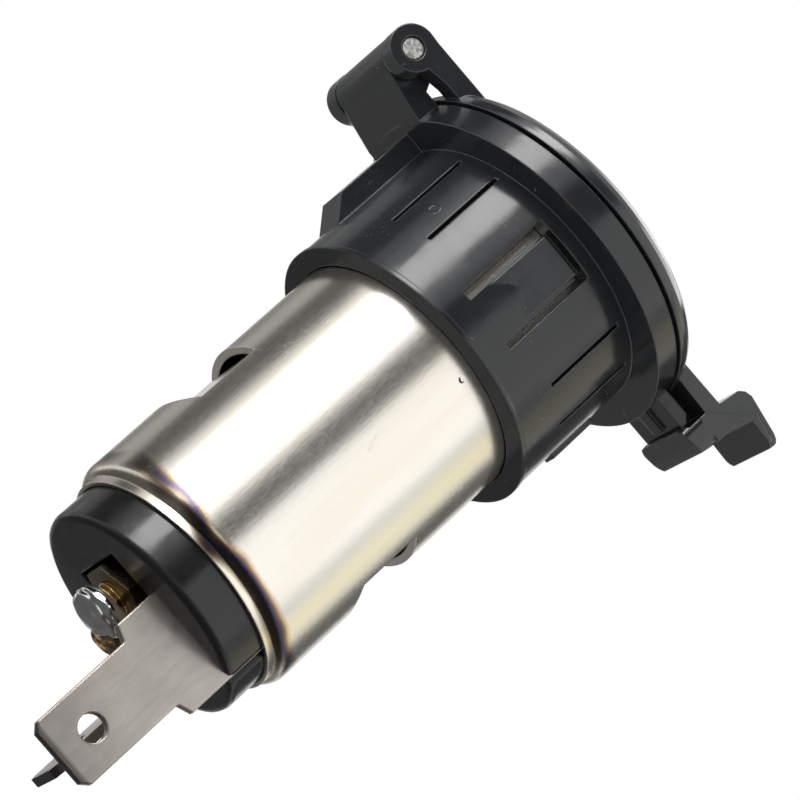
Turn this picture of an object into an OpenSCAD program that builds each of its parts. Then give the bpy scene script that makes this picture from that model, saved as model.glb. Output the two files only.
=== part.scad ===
// Car 12 V power socket with a hinged, latched cover.
// Origin: centre of the flange's rear face, which rests on the panel. +Z points out of the
// panel towards the cover, the hinge is at +Y and the latch at -Y. Lengths are in mm.

/* [Flange] */
// Reach of the flange beyond the barrel
flange_over = 2.8; // [2.5:0.05:3]
// Thickness of the flange
flange_t = 2.35; // [2.2:0.05:2.8]
// Depth of the front lip that covers the shell's edge
lip_depth = 1.45; // [1.2:0.05:1.6]
// Radial cover of the lip over the shell's wall
lip_cover = 0.6; // [0.4:0.05:0.65]
// Bevel round the socket's mouth
mouth_bevel = 0.3; // [0.1:0.05:0.4]

/* [Barrel] */
// Wall of the barrel that goes through the panel
barrel_wall = 1.65; // [1.5:0.05:1.9]
// Length of the barrel behind the flange
barrel_len = 13.7; // [13:0.1:16]
// Height of the bead round the barrel's rear rim
bead_h = 0.12; // [0.05:0.01:0.2]
// Width of that bead
bead_w = 0.5; // [0.3:0.1:0.8]
// Free play between the barrel and the shell
shell_gap = 0.1; // [0.05:0.01:0.15]

/* [Key and rib] */
// Width of the key that stops the socket from turning
key_w = 4.4; // [3:0.1:5]
// Height of the key over the barrel
key_h = 1.75; // [1:0.05:1.9]
// Distance from the flange to where the key's ramp starts
key_flat = 8; // [6:0.1:9]
// Length of the key's ramp
key_ramp = 2.1; // [1:0.1:2.5]
// Width of the small rib opposite the key
rib_w = 1.6; // [1:0.1:2]
// Height of that rib
rib_h = 0.4; // [0.2:0.05:0.6]
// Distance from the flange to the rib
rib_start = 3.4; // [2:0.1:4]
// Length of the rib
rib_len = 5; // [3:0.1:6]

/* [Slots and snap tongues] */
// Angle from the hinge to the first narrow slot
slot_a = 37.5; // [34:0.5:42]
// Angle from the hinge to the second narrow slot
slot_b = 55; // [50:0.5:60]
// Angle from the hinge to the wide window
window_a = 80; // [78:0.5:82]
// Angle from the hinge to the slot beyond the snap tongue
slot_c = 103.5; // [101:0.5:106]
// Angle from the hinge to the third narrow slot
slot_d = 127.5; // [122:0.5:132]
// Angle from the hinge to the fourth narrow slot
slot_e = 148; // [143:0.5:153]
// Width of a narrow slot
slot_w = 0.4; // [0.3:0.05:0.6]
// Depth of a narrow slot
slot_depth = 1.1; // [0.6:0.05:1.2]
// Distance from the flange to the narrow slots
slot_start = 0.9; // [0.5:0.1:1.5]
// Length of a narrow slot
slot_len = 8.1; // [6:0.1:9]
// Width of the wide window
window_w = 0.9; // [0.6:0.05:1.1]
// Width of the slot beyond the tongue
tongue_slot_w = 0.6; // [0.4:0.05:0.8]
// Distance from the flange to the window and the tongue
window_start = 1.35; // [1:0.05:1.8]
// Length of the window and the tongue
window_len = 9.5; // [8:0.1:10]
// Height of the tongue's barb over the barrel
barb_h = 0.35; // [0.2:0.05:0.5]
// Length of the flat on top of the barb
barb_edge = 0.3; // [0.2:0.05:0.5]
// Distance from the flange to the barb's ledge
barb_start = 2.4; // [2.2:0.1:3]
// Angle left free at each side of the tongue
tongue_side = 3; // [2:0.5:4]

/* [Shell] */
// Outer diameter of the metal shell
shell_d = 22.4; // [22.2:0.1:22.8]
// Sheet thickness of the shell
sheet = 0.7; // [0.5:0.05:0.8]
// Distance from the flange's rear face to the shell's rear lip
shell_rear = 40.8; // [40:0.1:45]
// Depth to which the two flats are pressed in
flat_depth = 1.4; // [1:0.1:1.6]
// Distance from the rear lip to the flats' ramps
flat_back = 8.1; // [6:0.1:10]
// Straight length of the flats
flat_len = 6.1; // [4:0.1:7]
// Length of the ramp from a flat back to the round shell
flat_ramp = 2.2; // [1.5:0.1:3]
// Wall thickness of the rolled rear lip
lip_t = 0.35; // [0.25:0.05:0.45]
// Radius of the shell's rear shoulder
shoulder_r = 1.1; // [0.9:0.05:1.3]

/* [Rear plug] */
// Radial step from the shell's outside in to the insulating plug
plug_inset = 1.15; // [1.1:0.05:1.25]
// Length of the plug that stands out of the shell
plug_out = 3.7; // [3:0.1:5]
// Length of the plug's thick part inside the shell
plug_in = 2.9; // [2:0.1:4]
// Round edge of the plug's rear face
plug_edge = 0.5; // [0.2:0.05:0.7]
// Depth of the pocket round the nut
pocket_depth = 2.2; // [1.5:0.1:2.5]
// Wall between the pocket and the ground blade's slot
pocket_wall = 0.7; // [0.5:0.05:0.9]
// Free space from the nut and the positive blade to the pocket's edges
pocket_play = 0.3; // [0.2:0.05:0.6]

/* [Terminals] */
// Width of both blades
blade_w = 6.3; // [4.8:0.1:6.4]
// Thickness of both blades
blade_t = 0.8; // [0.5:0.05:0.8]
// Distance from the plug to the blades' tips
blade_out = 14.5; // [13:0.1:16]
// Diameter of the hole in a blade
blade_hole_d = 2.35; // [1.5:0.05:2.4]
// Distance from the tip to that hole
blade_hole_in = 3.6; // [3:0.1:4.5]
// Corner cut at a blade's tip
blade_corner = 0.65; // [0.3:0.05:0.8]
// Distance from the plug's side in to the ground blade's outer face
ground_in = 3.85; // [3.6:0.05:4]
// Distance of the ground blade's centre line from the axis
ground_y = 3.5; // [3.3:0.1:3.7]
// Distance of the root's hinge-side edge from the axis
root_top = 1; // [0.6:0.1:1.2]
// Distance from the plug to the ground blade's shoulders
shoulder_out = 4; // [3:0.1:5]
// Slope of the shoulders, as their drop along the blade
shoulder_drop = 0.5; // [0.2:0.1:0.8]
// Width of the ground terminal's foot, which touches the shell
ground_foot_w = 3; // [2:0.1:3.4]
// Distance from the axis to the positive blade
positive_y = 4.8; // [4.4:0.1:5]
// Free play of a blade in its slot
blade_play = 0.05; // [0.03:0.01:0.1]

/* [Stud and nut] */
// Diameter of the stud
stud_d = 3; // [2.5:0.1:3.5]
// Distance of the stud from the axis, towards the hinge
stud_y = 2.25; // [1.8:0.05:2.4]
// Width of the nut across its flats
nut_af = 5.5; // [4.5:0.1:5.5]
// Thickness of the nut
nut_t = 2.2; // [1.8:0.1:2.4]
// Thickness of the washer under the nut
washer_t = 0.4; // [0.3:0.1:0.6]
// Gap between the nut and the positive terminal's foot
foot_gap = 1.1; // [0.6:0.1:1.5]
// Radius of the round foot of the positive terminal
foot_r = 2.3; // [2.1:0.1:2.6]
// Height of the stud's end over the foot
stud_end = 0.25; // [0.2:0.05:0.3]
// Radius of the solder on the foot
solder_w = 1.85; // [1.8:0.05:2]
// Height of the solder over the foot
solder_h = 1; // [1:0.05:1.2]

/* [Centre contact] */
// Thickness of the contact's spring leaf
leaf_t = 0.5; // [0.3:0.05:0.6]
// Width of the leaf
leaf_w = 6; // [5:0.1:7]
// Height of the leaf's upper run over its base
leaf_rise = 2.8; // [2.4:0.1:3.5]
// Radius of the domed contact button
button_r = 2.2; // [1.8:0.1:2.6]
// Height of the button
button_h = 0.9; // [0.5:0.1:1.2]
// Thickness of the stud's head
head_t = 0.9; // [0.7:0.1:1.1]
// Radius of the stud's head
head_r = 2.5; // [2.2:0.1:2.7]
// Thickness of the insulating disc under the leaf
disc_t = 0.6; // [0.4:0.1:0.8]
// Gap between the disc and the ground blade
disc_gap = 0.4; // [0.3:0.05:0.6]

/* [Cover] */
// Overhang of the cover beyond the flange
lid_over = 0.2; // [0:0.05:0.3]
// Gap between the flange and the cover
lid_gap = 0.3; // [0.3:0.05:0.4]
// Height of the cover's straight edge
lid_rim = 0.35; // [0.3:0.05:0.5]
// Width of the cover's rounded edge
lid_round = 2.4; // [2:0.1:2.8]
// Height of the cover's rounded edge
lid_round_h = 2; // [1.8:0.1:2.2]
// Rise of the cover's middle over its rounded edge
dome_rise = 0.3; // [0.1:0.05:0.6]
// Wall thickness of the cover
lid_wall = 1.2; // [1:0.1:1.4]
// Free play round the ring that enters the socket
spigot_play = 0.5; // [0.4:0.05:0.7]
// Wall of that ring
spigot_wall = 1; // [0.8:0.1:1.4]
// Depth of that ring below the cover's rim
spigot_depth = 1.4; // [1:0.1:1.6]
// Width of the cover's gasket
gasket_w = 2.2; // [1.6:0.1:2.6]
// Thickness of the gasket
gasket_t = 0.9; // [0.7:0.05:1]

/* [Hinge] */
// Distance from the flange's edge out to the hinge pin
hinge_out = 3.96; // [3.9:0.02:4.5]
// Height of the hinge pin over the flange's front face
hinge_up = 0.49; // [0.4:0.01:0.55]
// Diameter of the hinge pin
pin_d = 1.8; // [1.5:0.05:1.9]
// Running clearance round the hinge pin, on the radius
pin_play = 0.04; // [0.02:0.01:0.08]
// Distance from an arm's outer face in to the pin's end
pin_short = 0.15; // [0.1:0.05:0.3]
// Depth of the wider ring round the pin's end
pin_recess = 0.3; // [0.2:0.05:0.4]
// Width of that ring
pin_bevel = 0.12; // [0.08:0.02:0.2]
// Width over both arms of the cover
hinge_w = 14.9; // [14:0.1:15.5]
// Thickness of one arm
arm_t = 1.85; // [1.5:0.05:2]
// Wall of the arms' knuckles round the pin
knuckle_wall = 1.2; // [1.15:0.05:1.3]
// Side gap between an arm and the hinge block
arm_gap = 0.3; // [0.25:0.05:0.4]
// Height of the hinge block's shoulder over the flange's front face
block_step = 0.8; // [0.5:0.05:0.9]
// Length of the arms over the cover's edge
arm_lap = 3.65; // [3:0.05:4.5]

/* [Spring] */
// Wire diameter of the spring
wire_d = 0.45; // [0.35:0.05:0.5]
// Free play between the spring and the pin
coil_play = 0.17; // [0.12:0.01:0.2]
// Number of turns
coil_turns = 5; // [3:1:6]
// Half width of the spring's slot in the hinge block
spring_half = 2.6; // [2.4:0.1:3]

/* [Latch] */
// Width of the latch
latch_w = 8; // [7:0.1:9]
// Corner radius of the latch's ends
latch_round = 1; // [0.6:0.1:1.1]
// Gap between the ear and the hook
hook_gap = 0.35; // [0.3:0.05:0.45]
// Thickness of the hook
hook_t = 2.5; // [2:0.1:2.8]
// Gap between the ear's rear face and the hook's barb
barb_gap = 0.3; // [0.25:0.05:0.4]
// Length of the finger tab beyond the hook
tab_out = 3.5; // [3:0.1:4.5]
// Height of the finger tab over the cover's rounded edge
tab_up = 2.75; // [2.2:0.05:3.2]
// Thickness of the finger tab
tab_t = 1.5; // [1.2:0.1:1.8]
// Width of the catch ear on the flange
ear_w = 6.6; // [5:0.1:6.8]
// Reach of the ear beyond the flange
ear_out = 2.75; // [2.4:0.05:3]
// Thickness of the ear
ear_t = 1.2; // [1:0.05:1.3]
// Size of the slanted cut on the ear's front edge
ear_cut = 0.9; // [0.5:0.1:1]
// Width of the rib behind the ear
ear_rib_w = 1.4; // [1:0.1:2]
// Height of that rib
ear_rib_h = 0.35; // [0.2:0.05:0.4]
// Reach of the hook's barb under the ear
barb_reach = 0.55; // [0.5:0.05:0.6]
// Thickness of the barb's edge
hook_lip = 0.4; // [0.3:0.05:0.5]

/* [Hidden] */
$fn = 96;
eps = 0.01;
far = 60;

shell_r = shell_d / 2;
bore_r = shell_r - sheet;
barrel_r = shell_r + shell_gap + barrel_wall;
flange_r = barrel_r + flange_over;
seat_z = flange_t - lip_depth;
mouth_r = shell_r - lip_cover;
flat_end = shell_rear - flat_back;
flat_start = flat_end - flat_ramp - flat_len;

plug_r = shell_r - plug_inset;
lip_r = plug_r + blade_play;
plug_rear = -(shell_rear + plug_out);
shoulder_z = -(shell_rear - sheet - shoulder_r);
plug_front = shoulder_z + plug_in;
pocket_z = plug_rear + pocket_depth;

ground_x = plug_r - ground_in;
ground_z = plug_rear - shoulder_out;
root_bottom = -sqrt(plug_r * plug_r - ground_x * ground_x);
tip_z = plug_rear - blade_out;
nut_r = nut_af / 2 / cos(30);
pocket_half = ground_x - blade_t - pocket_wall;
pocket_bottom = -positive_y - pocket_play;
pocket_top = stud_y + nut_af / 2 + pocket_play;

stud_r = stud_d / 2;
nut_z = pocket_z - washer_t - nut_t;
foot_z = nut_z - foot_gap;
foot_taper = -positive_y + blade_t + 1.5;
washer_r = nut_af / 2 + 0.1;
solder_r = (solder_w * solder_w + solder_h * solder_h) / 2 / solder_h;
leaf_z = plug_front + disc_t;
leaf_bend = leaf_w * 0.65;
leaf_end = stud_y + head_r;
disc_r = ground_x - blade_t - disc_gap;
disc_y = stud_y / 2;
button_ball = (button_r * button_r + button_h * button_h) / 2 / button_h;

lid_r = flange_r + lid_over;
lid_z = flange_t + lid_gap;
rim_z = lid_z + lid_rim;
top_z = rim_z + lid_round_h;
dome_z = top_z + dome_rise;
spigot_r = mouth_r - spigot_play;
gasket_r = spigot_r + gasket_w;
gasket_z = lid_z + gasket_t;

hinge_y = flange_r + hinge_out;
hinge_z = flange_t + hinge_up;
knuckle_r = pin_d / 2 + knuckle_wall;
arm_out = hinge_w / 2;
arm_in = arm_out - arm_t;
arm_end = lid_r - arm_lap;
arm_top = top_z - 0.14;
block_half = arm_in - arm_gap;
block_r = knuckle_r - 0.05;
block_face = flange_t - 0.1;

coil_r = pin_d / 2 + coil_play + wire_d / 2;
coil_pitch = wire_d + 0.04;
coil_len = coil_pitch * coil_turns;
slot_r = coil_r + wire_d / 2 + 0.25;
leg_z = top_z + 0.3 + wire_d / 2;
spring_leg_end = flange_r + 0.2;

ear_end = flange_r + ear_out;
ear_rear = flange_t - ear_t;
hook_in = ear_end + hook_gap;
barb_z = ear_rear - barb_gap;
tab_top = top_z + tab_up;

// Extrudes an outline in the YZ plane along X, centred on x = 0
module along_x(w) {
    rotate([90, 0, 90])
        linear_extrude(w, center = true)
            children();
}

// Places children on the barrel's wall, a degrees from the hinge towards -X, and mirrors them
module on_wall(a) {
    for (side = [0, 1])
        mirror([side, 0, 0])
            rotate([0, 0, 90 + a])
                children();
}

// One lengthwise slot in the barrel's wall, from depth d below the surface outwards
module wall_slot(w, d, start, len) {
    translate([barrel_r - d, -w / 2, -start - len])
        cube([d + 2, w, len]);
}

// The barrel's snap tongue, a flat wedge that ends in a ledge near the flange
module snap_tongue() {
    root = window_start + window_len;
    w = 2 * barrel_r * sin((slot_c - window_a) / 2 - tongue_side);
    rotate([90, 0, 0])
        linear_extrude(w, center = true)
            polygon([
                [barrel_r - slot_depth, -root - barb_edge],
                [barrel_r - barb_h, -root - barb_edge],
                [barrel_r + barb_h, -barb_start - barb_edge],
                [barrel_r + barb_h, -barb_start],
                [barrel_r - slot_depth, -barb_start]
            ]);
}

module hinge_block_outline() {
    translate([hinge_y, hinge_z])
        circle(block_r);
    polygon([
        [barrel_r, 0],
        [flange_r - 0.3, 0],
        [hinge_y - 0.2, hinge_z - block_r],
        [hinge_y, hinge_z],
        [hinge_y - block_r / 2, hinge_z + block_r * cos(30)],
        [flange_r + 1, flange_t + block_step],
        [flange_r + 0.55, block_face],
        [barrel_r, block_face]
    ]);
}

module hinge_block() {
    difference() {
        along_x(2 * block_half)
            hinge_block_outline();
        translate([0, hinge_y, hinge_z])
            rotate([0, 90, 0])
                cylinder(h = hinge_w, r = pin_d / 2 + pin_play, center = true);
        translate([0, hinge_y, hinge_z])
            rotate([0, 90, 0])
                cylinder(h = 2 * spring_half, r = slot_r, center = true);
        translate([-spring_half, hinge_y - slot_r, hinge_z])
            cube([2 * spring_half, 3 * slot_r, 2 * slot_r]);
        translate([-spring_half, spring_leg_end, hinge_z - coil_r - wire_d / 2 - 0.1])
            cube([spring_half - coil_len / 2 + wire_d, hinge_y - spring_leg_end, 2 * slot_r]);
    }
}

module catch_ear() {
    difference() {
        translate([-ear_w / 2, -ear_end, ear_rear])
            cube([ear_w, ear_end - barrel_r + 1, flange_t - ear_rear]);
        translate([0, -ear_end, flange_t])
            rotate([45, 0, 0])
                cube([ear_w + 1, ear_cut, ear_cut], center = true);
    }
    translate([-ear_rib_w / 2, -ear_end + 0.6, ear_rear - ear_rib_h])
        cube([ear_rib_w, ear_end - barrel_r, ear_rib_h + eps]);
}

module housing() {
    color([0.07, 0.07, 0.075])
        difference() {
            union() {
                translate([0, 0, -barrel_len])
                    cylinder(h = barrel_len + eps, r = barrel_r);
                translate([0, 0, -barrel_len])
                    cylinder(h = bead_w, r = barrel_r + bead_h);
                cylinder(h = flange_t, r = flange_r);
                along_x(key_w)
                    polygon([
                        [barrel_r - 1, -key_flat - key_ramp],
                        [barrel_r, -key_flat - key_ramp],
                        [barrel_r + key_h, -key_flat],
                        [barrel_r + key_h, eps],
                        [barrel_r - 1, eps]
                    ]);
                translate([-rib_w / 2, -barrel_r - rib_h, -rib_start - rib_len])
                    cube([rib_w, 1, rib_len]);
                hinge_block();
                catch_ear();
                on_wall((slot_c + window_a) / 2)
                    snap_tongue();
            }
            translate([0, 0, -barrel_len - 1])
                cylinder(h = barrel_len + 1 + seat_z, r = shell_r + shell_gap);
            cylinder(h = far, r = mouth_r);
            translate([0, 0, flange_t - mouth_bevel])
                cylinder(h = mouth_bevel + eps, r1 = mouth_r, r2 = mouth_r + mouth_bevel);
            for (a = [slot_a, slot_b, slot_d, slot_e])
                on_wall(a)
                    wall_slot(slot_w, slot_depth, slot_start, slot_len);
            on_wall(window_a)
                wall_slot(window_w, barrel_r - shell_r + 1, window_start, window_len);
            on_wall(slot_c)
                wall_slot(tongue_slot_w, barrel_r - shell_r + 1, window_start, window_len);
            on_wall((slot_c + window_a) / 2)
                tongue_relief();
        }
}

// Frees the tongue's end from the wall in front of it
module tongue_relief() {
    w = 2 * barrel_r * sin((slot_c - window_a) / 2);
    translate([barrel_r - slot_depth, -w / 2, -barb_start + eps])
        cube([slot_depth + 2, w, barb_start - window_start - 2 * eps]);
}

// Profile of the shell's outside across the flats, as half heights along the axis
module flat_outline(wall) {
    h = shell_r - flat_depth - wall;
    big = shell_r + 1;
    half = [
        [seat_z + 1, big],
        [-flat_start, big],
        [-flat_start, h],
        [-flat_start - flat_len, h],
        [-flat_start - flat_len - flat_ramp, big],
        [-far, big]
    ];
    polygon(concat(
        [for (p = half) [p[1], p[0]]],
        [for (i = [len(half) - 1:-1:0]) [-half[i][1], half[i][0]]]
    ));
}

// Revolved outline of the shell, with its wall inset by w
module shell_turned(w) {
    rotate_extrude()
        difference() {
            union() {
                translate([0, shoulder_z])
                    square([shell_r - w, seat_z - shoulder_z + (w > 0 ? 1 : 0)]);
                translate([0, shoulder_z - shoulder_r + w])
                    square([shell_r - shoulder_r, shoulder_r - w + eps]);
                translate([shell_r - shoulder_r, shoulder_z])
                    circle(shoulder_r - w);
                translate([0, -shell_rear - (w > 0 ? 1 : 0)])
                    square([lip_r + (w > 0 ? 0 : lip_t), far / 2]);
            }
            translate([-far, -far])
                square([far, 2 * far]);
            translate([0, seat_z + (w > 0 ? 1 : 0)])
                square([far, far]);
        }
}

module shell() {
    color([0.72, 0.7, 0.66])
        difference() {
            intersection() {
                shell_turned(0);
                along_x(far)
                    flat_outline(0);
            }
            intersection() {
                shell_turned(sheet);
                along_x(far)
                    flat_outline(sheet);
            }
        }
}

module rear_plug() {
    color([0.06, 0.06, 0.06])
        difference() {
            rotate_extrude()
                polygon([
                    [0, plug_rear],
                    [plug_r - plug_edge, plug_rear],
                    [plug_r - plug_edge * 0.3, plug_rear + plug_edge * 0.3],
                    [plug_r, plug_rear + plug_edge],
                    [plug_r, shoulder_z - (bore_r - plug_r)],
                    [bore_r - blade_play, shoulder_z + blade_play],
                    [bore_r - blade_play, plug_front],
                    [0, plug_front]
                ]);
            translate([-pocket_half, pocket_bottom, plug_rear - 1])
                cube([pocket_half + nut_r + pocket_play, pocket_top - pocket_bottom, pocket_depth + 1]);
            translate([0, stud_y, -far])
                cylinder(h = far, r = stud_r);
            ground_slot();
        }
}

module ground_slot() {
    top = root_top + blade_play;
    translate([-ground_x - blade_play, top - 2 * plug_r, -far])
        cube([blade_t + 2 * blade_play, 2 * plug_r, far]);
}

module ground_terminal() {
    blade_top = -ground_y + blade_w / 2;
    blade_bottom = -ground_y - blade_w / 2;
    foot_x = sqrt(bore_r * bore_r - pow(ground_y + ground_foot_w / 2, 2)) - blade_play;
    color([0.78, 0.76, 0.73]) {
        difference() {
            translate([-ground_x, 0, 0])
                rotate([90, 0, 90])
                    linear_extrude(blade_t)
                        polygon([
                            [root_top, plug_front + blade_t],
                            [root_top, ground_z],
                            [blade_top, ground_z - shoulder_drop],
                            [blade_top, tip_z + blade_corner],
                            [blade_top - blade_corner, tip_z],
                            [blade_bottom + blade_corner, tip_z],
                            [blade_bottom, tip_z + blade_corner],
                            [blade_bottom, ground_z - shoulder_drop],
                            [root_bottom, ground_z],
                            [root_bottom, plug_front + blade_t]
                        ]);
            translate([0, -ground_y, tip_z + blade_hole_in])
                rotate([0, 90, 0])
                    cylinder(h = far, r = blade_hole_d / 2, center = true);
        }
        translate([-foot_x, -ground_y - ground_foot_w / 2, plug_front])
            cube([foot_x - ground_x + eps, ground_foot_w, blade_t]);
    }
}

module positive_terminal() {
    color([0.78, 0.76, 0.73])
        difference() {
            union() {
                translate([0, 0, foot_z - blade_t]) {
                    linear_extrude(blade_t) {
                        translate([0, stud_y])
                            circle(foot_r);
                        polygon([
                            [-foot_r, stud_y],
                            [foot_r, stud_y],
                            [blade_w / 2, foot_taper],
                            [blade_w / 2, -positive_y],
                            [-blade_w / 2, -positive_y],
                            [-blade_w / 2, foot_taper]
                        ]);
                    }
                }
                translate([0, -positive_y + blade_t, 0])
                    rotate([90, 0, 0])
                        linear_extrude(blade_t)
                            polygon([
                                [-blade_w / 2, foot_z],
                                [blade_w / 2, foot_z],
                                [blade_w / 2, tip_z + blade_corner],
                                [blade_w / 2 - blade_corner, tip_z],
                                [-blade_w / 2 + blade_corner, tip_z],
                                [-blade_w / 2, tip_z + blade_corner]
                            ]);
            }
            translate([0, stud_y, -far])
                cylinder(h = far, r = stud_r);
            translate([0, 0, tip_z + blade_hole_in])
                rotate([90, 0, 0])
                    cylinder(h = far, r = blade_hole_d / 2, center = true);
        }
}

module stud() {
    color([0.75, 0.58, 0.3])
        translate([0, stud_y, 0]) {
            translate([0, 0, foot_z - blade_t - stud_end])
                cylinder(h = leaf_z + leaf_t - foot_z + blade_t + stud_end, r = stud_r);
            translate([0, 0, leaf_z + leaf_t])
                cylinder(h = head_t, r = head_r);
        }
}

module nut() {
    color([0.75, 0.58, 0.3])
        difference() {
            translate([0, stud_y, nut_z])
                cylinder(h = nut_t, r = nut_r, $fn = 6);
            translate([0, stud_y, nut_z - 1])
                cylinder(h = nut_t + 2, r = stud_r);
        }
}

module nut_washer() {
    color([0.7, 0.7, 0.68])
        difference() {
            translate([0, stud_y, pocket_z - washer_t])
                cylinder(h = washer_t, r = washer_r);
            translate([0, stud_y, pocket_z - washer_t - 1])
                cylinder(h = washer_t + 2, r = stud_r);
        }
}

module solder_joint() {
    color([0.82, 0.82, 0.82])
        difference() {
            translate([0, stud_y, foot_z - blade_t])
                rotate_extrude()
                    intersection() {
                        translate([0, solder_r - solder_h])
                            circle(solder_r);
                        translate([0, -solder_h])
                            square([foot_r, solder_h]);
                    }
            translate([0, stud_y, foot_z - blade_t - stud_end])
                cylinder(h = 2, r = stud_r);
        }
}

// Side outline of the contact leaf: base, half-round bend and upper run
module leaf_outline() {
    mid = leaf_z + (leaf_rise + leaf_t) / 2;
    bend_r = (leaf_rise + leaf_t) / 2;
    arc = [for (a = [90:15:270]) [cos(a), sin(a)]];
    polygon(concat(
        [[button_r, leaf_z + leaf_rise + leaf_t]],
        [for (p = arc) [-leaf_bend + bend_r * p[0], mid + bend_r * p[1]]],
        [[leaf_end, leaf_z],
         [leaf_end, leaf_z + leaf_t]],
        [for (i = [len(arc) - 1:-1:0])
            [-leaf_bend + (bend_r - leaf_t) * arc[i][0], mid + (bend_r - leaf_t) * arc[i][1]]],
        [[button_r, leaf_z + leaf_rise]]
    ));
}

module contact_leaf() {
    color([0.8, 0.68, 0.4])
        difference() {
            union() {
                along_x(leaf_w)
                    leaf_outline();
                translate([0, 0, leaf_z + leaf_rise + leaf_t / 2])
                    rotate_extrude()
                        intersection() {
                            translate([0, leaf_t / 2 + button_h - button_ball])
                                circle(button_ball);
                            square([button_r * 0.9, leaf_t + button_h]);
                        }
            }
            translate([0, stud_y, leaf_z - 1])
                cylinder(h = leaf_t + 1.5, r = stud_r);
        }
}

module insulating_disc() {
    color([0.45, 0.25, 0.15])
        difference() {
            translate([0, disc_y, plug_front])
                cylinder(h = disc_t, r = disc_r);
            translate([0, stud_y, plug_front - 1])
                cylinder(h = disc_t + 2, r = stud_r);
        }
}

// Outline of the cover in a plane through its axis
module lid_section() {
    steps = 6;
    flat_r = lid_r - lid_round;
    middle = [for (i = [0:steps - 1])
        [flat_r * i / steps, dome_z - dome_rise * pow(i / steps, 2)]];
    edge = [for (i = [0:steps])
        [flat_r + lid_round * sin(90 * i / steps), rim_z + lid_round_h * cos(90 * i / steps)]];
    polygon(concat(
        middle,
        edge,
        [[lid_r, lid_z],
         [gasket_r, lid_z],
         [gasket_r, gasket_z],
         [spigot_r, gasket_z],
         [spigot_r, lid_z - spigot_depth],
         [spigot_r - spigot_wall, lid_z - spigot_depth],
         [spigot_r - spigot_wall, top_z - lid_wall],
         [0, dome_z - lid_wall]]
    ));
}

module arm_outline() {
    translate([hinge_y, hinge_z])
        circle(knuckle_r);
    polygon([
        [hinge_y, hinge_z + knuckle_r],
        [hinge_y - 1, arm_top],
        [arm_end + 0.4, arm_top],
        [arm_end, arm_top - 0.4],
        [arm_end, lid_z + 0.9],
        [arm_end + 1.2, lid_z + 0.35],
        [lid_r - 0.2, lid_z + 0.35],
        [hinge_y - 1.6, hinge_z - 0.3],
        [hinge_y, hinge_z]
    ]);
}

// Side outline of the latch's arm and finger tab
module tab_outline() {
    out = hook_in + hook_t;
    under = tab_top - tab_t;
    polygon([
        [-lid_r + 1, lid_z + 0.9],
        [-hook_in, lid_z + 0.75],
        [-hook_in, lid_z],
        [-out, lid_z],
        [-out, under - 1.05],
        [-out - 0.25, under - 0.3],
        [-out - 0.75, under],
        [-out - tab_out, under - 0.1],
        [-out - tab_out - 0.1, under + 0.65],
        [-out + 0.8, tab_top],
        [-out + 1.5, tab_top - 0.2],
        [-out + 1.95, tab_top - 0.7],
        [-hook_in - 0.25, top_z - 0.05],
        [-lid_r + lid_round, top_z - 0.1]
    ]);
}

// Side outline of the hook and its barb
module hook_outline() {
    out = hook_in + hook_t;
    barb_end = -hook_in + barb_reach;
    polygon([
        [-hook_in, lid_z + eps],
        [-hook_in, barb_z + barb_reach],
        [barb_end, barb_z],
        [barb_end - 0.1, barb_z - hook_lip],
        [-out + 1.2, barb_z - hook_lip + 0.2],
        [-out + 0.25, barb_z - hook_lip + 0.45],
        [-out, lid_z - 0.35],
        [-out, lid_z + eps]
    ]);
}

// Plan of a latch piece from the outer end out to the inner end in, with round corners
module latch_plan(out, in, round_inner) {
    r = latch_round;
    w = latch_w / 2;
    for (side = [-1, 1])
        translate([side * (w - r), -out + r])
            circle(r);
    for (side = [-1, 1])
        translate([side * (w - r), -in - r])
            if (round_inner) circle(r); else square(2 * r, center = true);
    translate([-w, -out + r])
        square([latch_w, out - in - 2 * r]);
    translate([-w + r, -out])
        square([latch_w - 2 * r, out - in]);
}

module latch() {
    out = hook_in + hook_t;
    intersection() {
        along_x(latch_w)
            tab_outline();
        linear_extrude(far)
            latch_plan(out + tab_out + 0.1, 0, false);
    }
    intersection() {
        along_x(latch_w)
            hook_outline();
        translate([0, 0, -far / 2])
            linear_extrude(far)
                latch_plan(out, hook_in - barb_reach, true);
    }
}

module lid() {
    color([0.07, 0.07, 0.075])
        difference() {
            union() {
                rotate_extrude()
                    lid_section();
                for (side = [-1, 1])
                    translate([side * (arm_in + arm_out) / 2, 0, 0])
                        along_x(arm_t)
                            arm_outline();
                latch();
            }
            translate([0, hinge_y, hinge_z])
                rotate([0, 90, 0])
                    cylinder(h = 2 * far, r = pin_d / 2, center = true);
            for (side = [-1, 1])
                translate([side * (arm_out + 1 - pin_recess), hinge_y, hinge_z])
                    rotate([0, 90, 0])
                        cylinder(h = 2, r = pin_d / 2 + pin_bevel, center = true);
        }
}

module lid_gasket() {
    color([0.12, 0.12, 0.12])
        difference() {
            translate([0, 0, lid_z])
                cylinder(h = gasket_t, r = gasket_r);
            translate([0, 0, lid_z - 1])
                cylinder(h = gasket_t + 2, r = spigot_r);
        }
}

module hinge_pin() {
    color([0.8, 0.8, 0.8])
        translate([0, hinge_y, hinge_z])
            rotate([0, 90, 0])
                cylinder(h = hinge_w - 2 * pin_short, r = pin_d / 2, center = true);
}

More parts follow.
